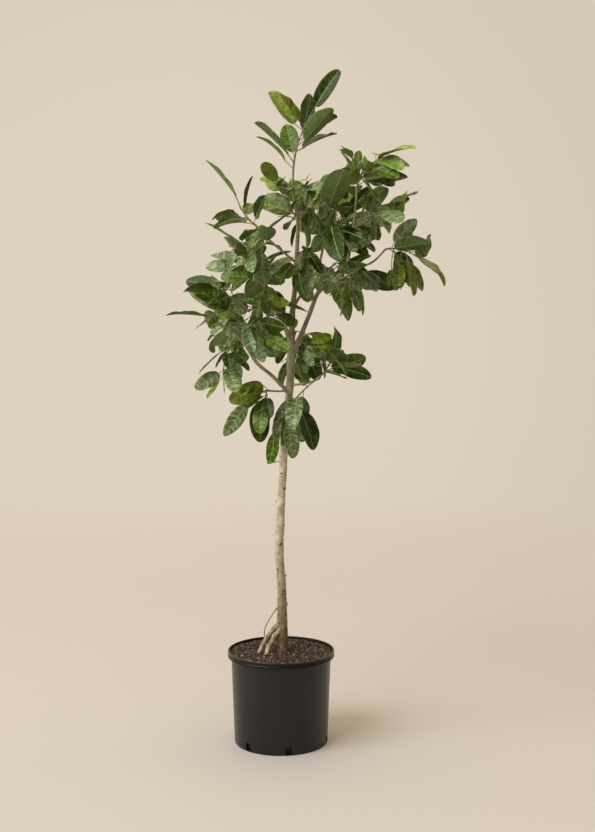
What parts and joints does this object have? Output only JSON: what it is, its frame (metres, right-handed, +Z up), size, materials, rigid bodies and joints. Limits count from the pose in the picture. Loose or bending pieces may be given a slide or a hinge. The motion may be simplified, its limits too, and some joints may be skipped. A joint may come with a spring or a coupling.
{
  "type": "potted ficus tree",
  "caption": "Slim standard ficus tree with one trunk, bent boughs and an open crown of broad leaves, standing in a round black nursery pot.",
  "frame": {"origin": "centre of the flat underside of the pot, where it stands on the floor", "axes": "+Z up along the trunk, +X to the right and +Y to the back as the plant is seen from the front"},
  "size_m": [0.7068, 0.5142, 1.7289],
  "materials": {
    "pot_plastic": "satin",
    "potting_mix": "matte",
    "bark": "matte",
    "leaves": "satin"
  },
  "bodies": {
    "root": {"pot": "pot_plastic", "potting_mix": "potting_mix", "trunk": "bark", "bough_right": "bark", "bough_right_upper": "bark", "bough_right_outer": "bark", "bough_cross": "bark", "bough_left": "bark", "bough_low_right": "bark", "bough_low_left": "bark", "bough_rear_left": "bark", "bough_rear_right": "bark", "foliage_leader": "leaves", "foliage_neck_left": "leaves", "foliage_neck_right": "leaves", "foliage_upper_left": "leaves", "foliage_mid_left": "leaves", "foliage_high_left": "leaves", "foliage_left_end": "leaves", "foliage_droop": "leaves", "foliage_level": "leaves", "foliage_low_left": "leaves", "foliage_low_front": "leaves", "foliage_low_right": "leaves", "foliage_right_lower": "leaves", "foliage_right_outer": "leaves", "foliage_right_mid": "leaves", "foliage_right_top": "leaves", "foliage_front_centre": "leaves", "foliage_centre_low": "leaves", "foliage_centre_left": "leaves", "foliage_rear_top": "leaves", "foliage_rear_left": "leaves", "foliage_rear_left_low": "leaves", "foliage_rear_right": "leaves", "foliage_rear_right_low": "leaves", "foliage_rear_low": "leaves"}
  },
  "joints": []
}
